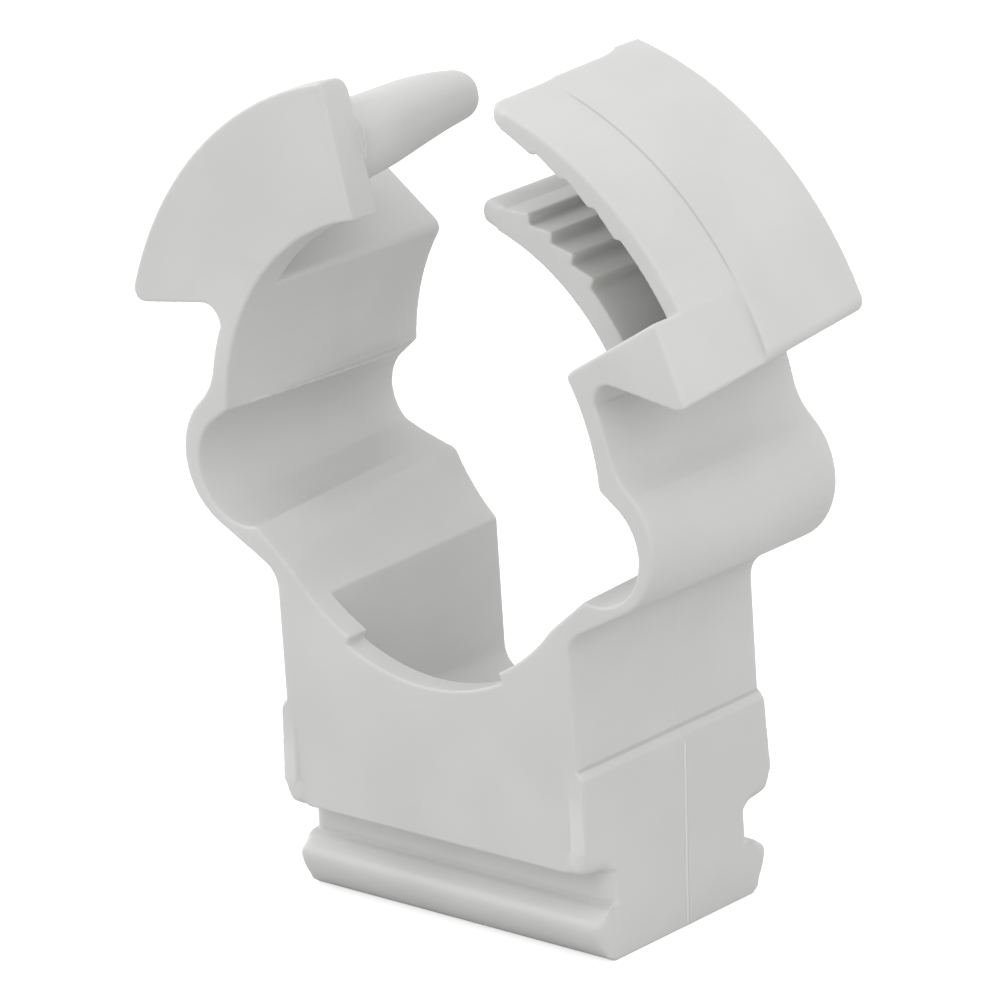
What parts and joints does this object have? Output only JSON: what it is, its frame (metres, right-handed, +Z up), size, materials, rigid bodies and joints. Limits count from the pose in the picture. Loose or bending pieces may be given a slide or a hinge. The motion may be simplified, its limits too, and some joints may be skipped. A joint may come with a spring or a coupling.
{
  "type": "pipe clip",
  "caption": "One-piece snap-lock pipe clip on a rail foot: two sprung arms close round a pipe and latch over it by a toothed tongue.",
  "frame": {"origin": "middle of the foot's flat underside, on the axis of the screw hole", "axes": "+Z up from the foot to the pipe ring, +Y along the pipe with the front cheeks at -Y, +X to the side of the ratchet cover"},
  "size_m": [0.0518, 0.0208, 0.0619],
  "materials": {
    "pale_grey_plastic": "fine satin as moulded"
  },
  "bodies": {
    "root": {"clip_body": "pale_grey_plastic"}
  },
  "joints": []
}
